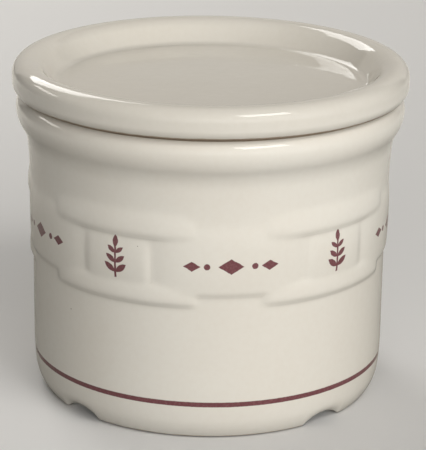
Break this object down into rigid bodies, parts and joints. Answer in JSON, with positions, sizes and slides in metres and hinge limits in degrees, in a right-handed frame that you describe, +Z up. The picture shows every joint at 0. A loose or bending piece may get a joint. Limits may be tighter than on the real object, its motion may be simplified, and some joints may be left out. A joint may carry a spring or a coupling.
{
  "type": "lidded crock",
  "caption": "Round glazed stoneware crock with a basket-weave band in relief, a rolled rim, a notched foot and a loose dished lid that lifts off.",
  "frame": {"origin": "middle of the foot, on the surface that the crock stands on", "axes": "+Z up along the crock's axis, through the lid; the front of the picture faces -Y"},
  "size_m": [0.1108, 0.1108, 0.0943],
  "materials": {
    "crock_glaze": "gloss ivory glaze",
    "lid_glaze": "gloss ivory glaze"
  },
  "bodies": {
    "crock": {"crock_body": "crock_glaze"},
    "lid": {"lid": "lid_glaze"}
  },
  "joints": [
    {"name": "lid_lift", "type": "slide", "parent": "crock", "child": "lid", "axis": [0, 0, 1], "range_m": [0, 0.1]}
  ]
}
